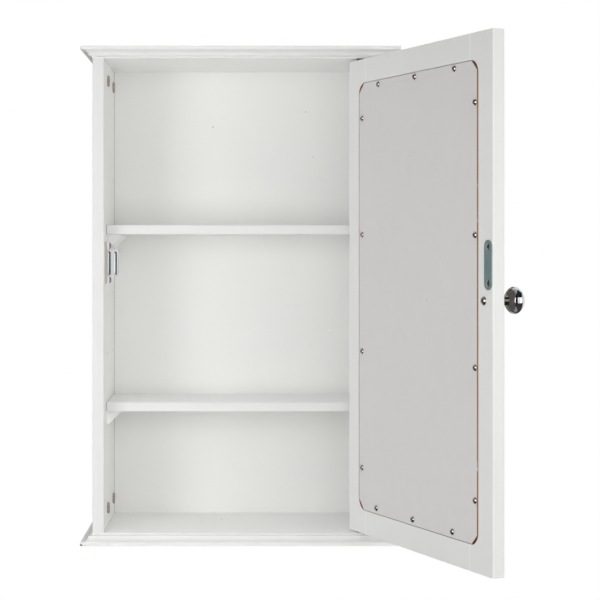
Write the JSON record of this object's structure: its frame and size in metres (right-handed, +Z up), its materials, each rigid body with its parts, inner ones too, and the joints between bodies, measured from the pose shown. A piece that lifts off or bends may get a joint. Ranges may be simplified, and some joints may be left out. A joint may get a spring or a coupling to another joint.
{
  "type": "mirror cabinet",
  "caption": "Wall-hung bathroom cabinet with moulded top and bottom boards, adjustable shelves on pegs, a magnetic catch and an inset mirror door that turns on pins.",
  "frame": {"origin": "midway between the two hanger slots, on the wall plane", "axes": "+X to the right as seen from the front, +Y into the wall, +Z up; the front faces -Y"},
  "size_m": [0.4348, 0.3857, 0.53],
  "materials": {
    "painted_board": "satin white paint on fibreboard",
    "painted_panel": "satin white paint on thin fibreboard",
    "painted_backing": "pale grey paint on thin fibreboard",
    "raw_board": "raw hardboard",
    "dowel_wood": "fluted beech",
    "white_plastic": "moulded",
    "brown_plastic": "moulded",
    "zinc": "zinc plated",
    "steel": "plain drawn steel",
    "nickel": "nickel plated",
    "ferrite": "sintered ferrite",
    "silvered_glass": "silvered float glass",
    "chrome": "polished chrome plate"
  },
  "bodies": {
    "cabinet": {"top_board": "painted_board", "bottom_board": "painted_board", "side_panel_left": "painted_board", "side_panel_right": "painted_board", "back_panel": "painted_panel", "shelf_upper": "painted_board", "shelf_lower": "painted_board", "shelf_pegs_upper": "white_plastic", "shelf_pegs_lower": "white_plastic", "cam_locks": "zinc", "cam_bolts": "steel", "panel_dowels": "dowel_wood", "hanger_plate_left": "zinc", "hanger_plate_right": "zinc", "hanger_screws": "zinc", "catch_shim": "raw_board", "catch_housing": "white_plastic", "catch_magnet": "ferrite", "catch_pole_plates": "zinc", "catch_screws": "nickel", "pivot_bush_top": "brown_plastic", "pivot_bush_bottom": "brown_plastic"},
    "door": {"pivot_pin_top": "steel", "pivot_pin_bottom": "steel", "door_stile_hinge": "painted_board", "door_stile_free": "painted_board", "door_rail_top": "painted_board", "door_rail_bottom": "painted_board", "door_dowels": "dowel_wood", "mirror_glass": "silvered_glass", "mirror_backing": "painted_backing", "backing_screws": "nickel", "strike_plate": "zinc", "strike_screws": "nickel", "knob": "chrome", "knob_screw": "nickel"}
  },
  "joints": [
    {"name": "door_hinge", "type": "hinge", "parent": "cabinet", "child": "door", "pos_m": [0.128, -0.13375, -0.225], "axis": [0, 0, 1], "range_deg": [-113.6, 26.4]}
  ]
}
